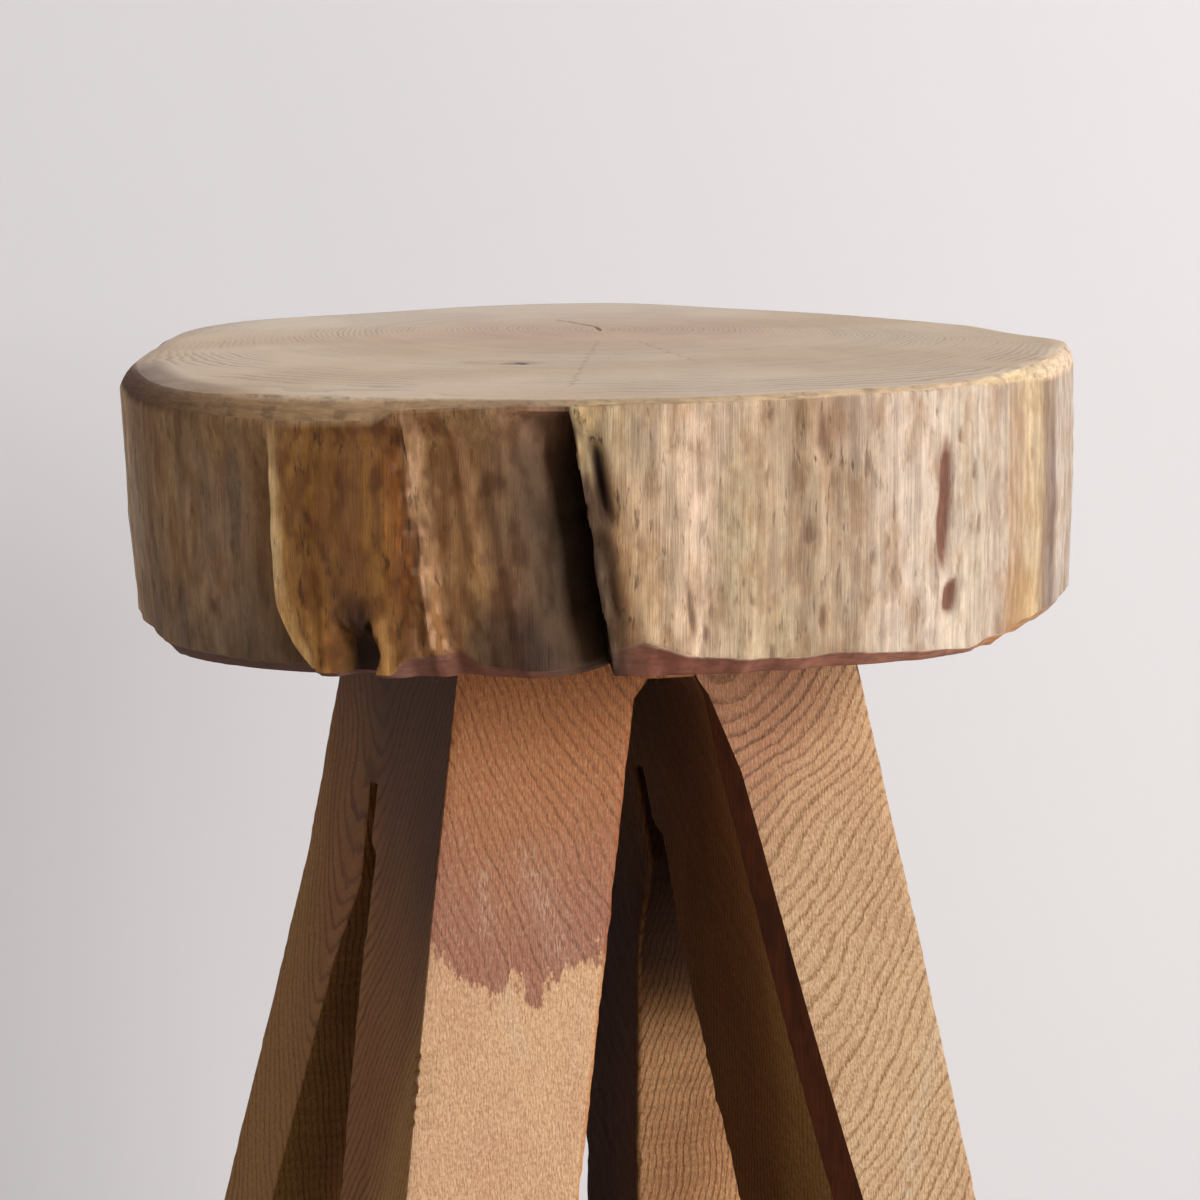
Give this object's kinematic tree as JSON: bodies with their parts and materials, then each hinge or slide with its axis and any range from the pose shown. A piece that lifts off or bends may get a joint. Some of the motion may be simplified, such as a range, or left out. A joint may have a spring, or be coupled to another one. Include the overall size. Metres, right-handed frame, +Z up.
{
  "type": "wooden stool",
  "caption": "Rustic stool or plinth: a thick live-edge slice of trunk fixed on a splayed base sawn from one log block, cut by crossing slots into legs joined at the crown.",
  "frame": {"origin": "middle of the whole stool's footprint box, at floor level", "axes": "+Z up, front face of the base (with the front-to-back slot) towards -Y, +X to the right"},
  "size_m": [0.3336, 0.3134, 0.45],
  "materials": {
    "seat_wood": "sanded and waxed end grain, debarked live edge",
    "base_wood": "rough-sawn, unfinished, heartwood and sapwood",
    "dowel_wood": "turned birch",
    "zinc_steel": "zinc plated",
    "glide_plastic": "moulded, dull"
  },
  "bodies": {
    "root": {"seat_slab": "seat_wood", "leg_block": "base_wood", "dowel_1": "dowel_wood", "dowel_2": "dowel_wood", "dowel_3": "dowel_wood", "dowel_4": "dowel_wood", "lag_screw_1": "zinc_steel", "washer_1": "zinc_steel", "lag_screw_2": "zinc_steel", "washer_2": "zinc_steel", "glide_1": "glide_plastic", "glide_nail_1": "zinc_steel", "glide_2": "glide_plastic", "glide_nail_2": "zinc_steel", "glide_3": "glide_plastic", "glide_nail_3": "zinc_steel", "glide_4": "glide_plastic", "glide_nail_4": "zinc_steel"}
  },
  "joints": []
}
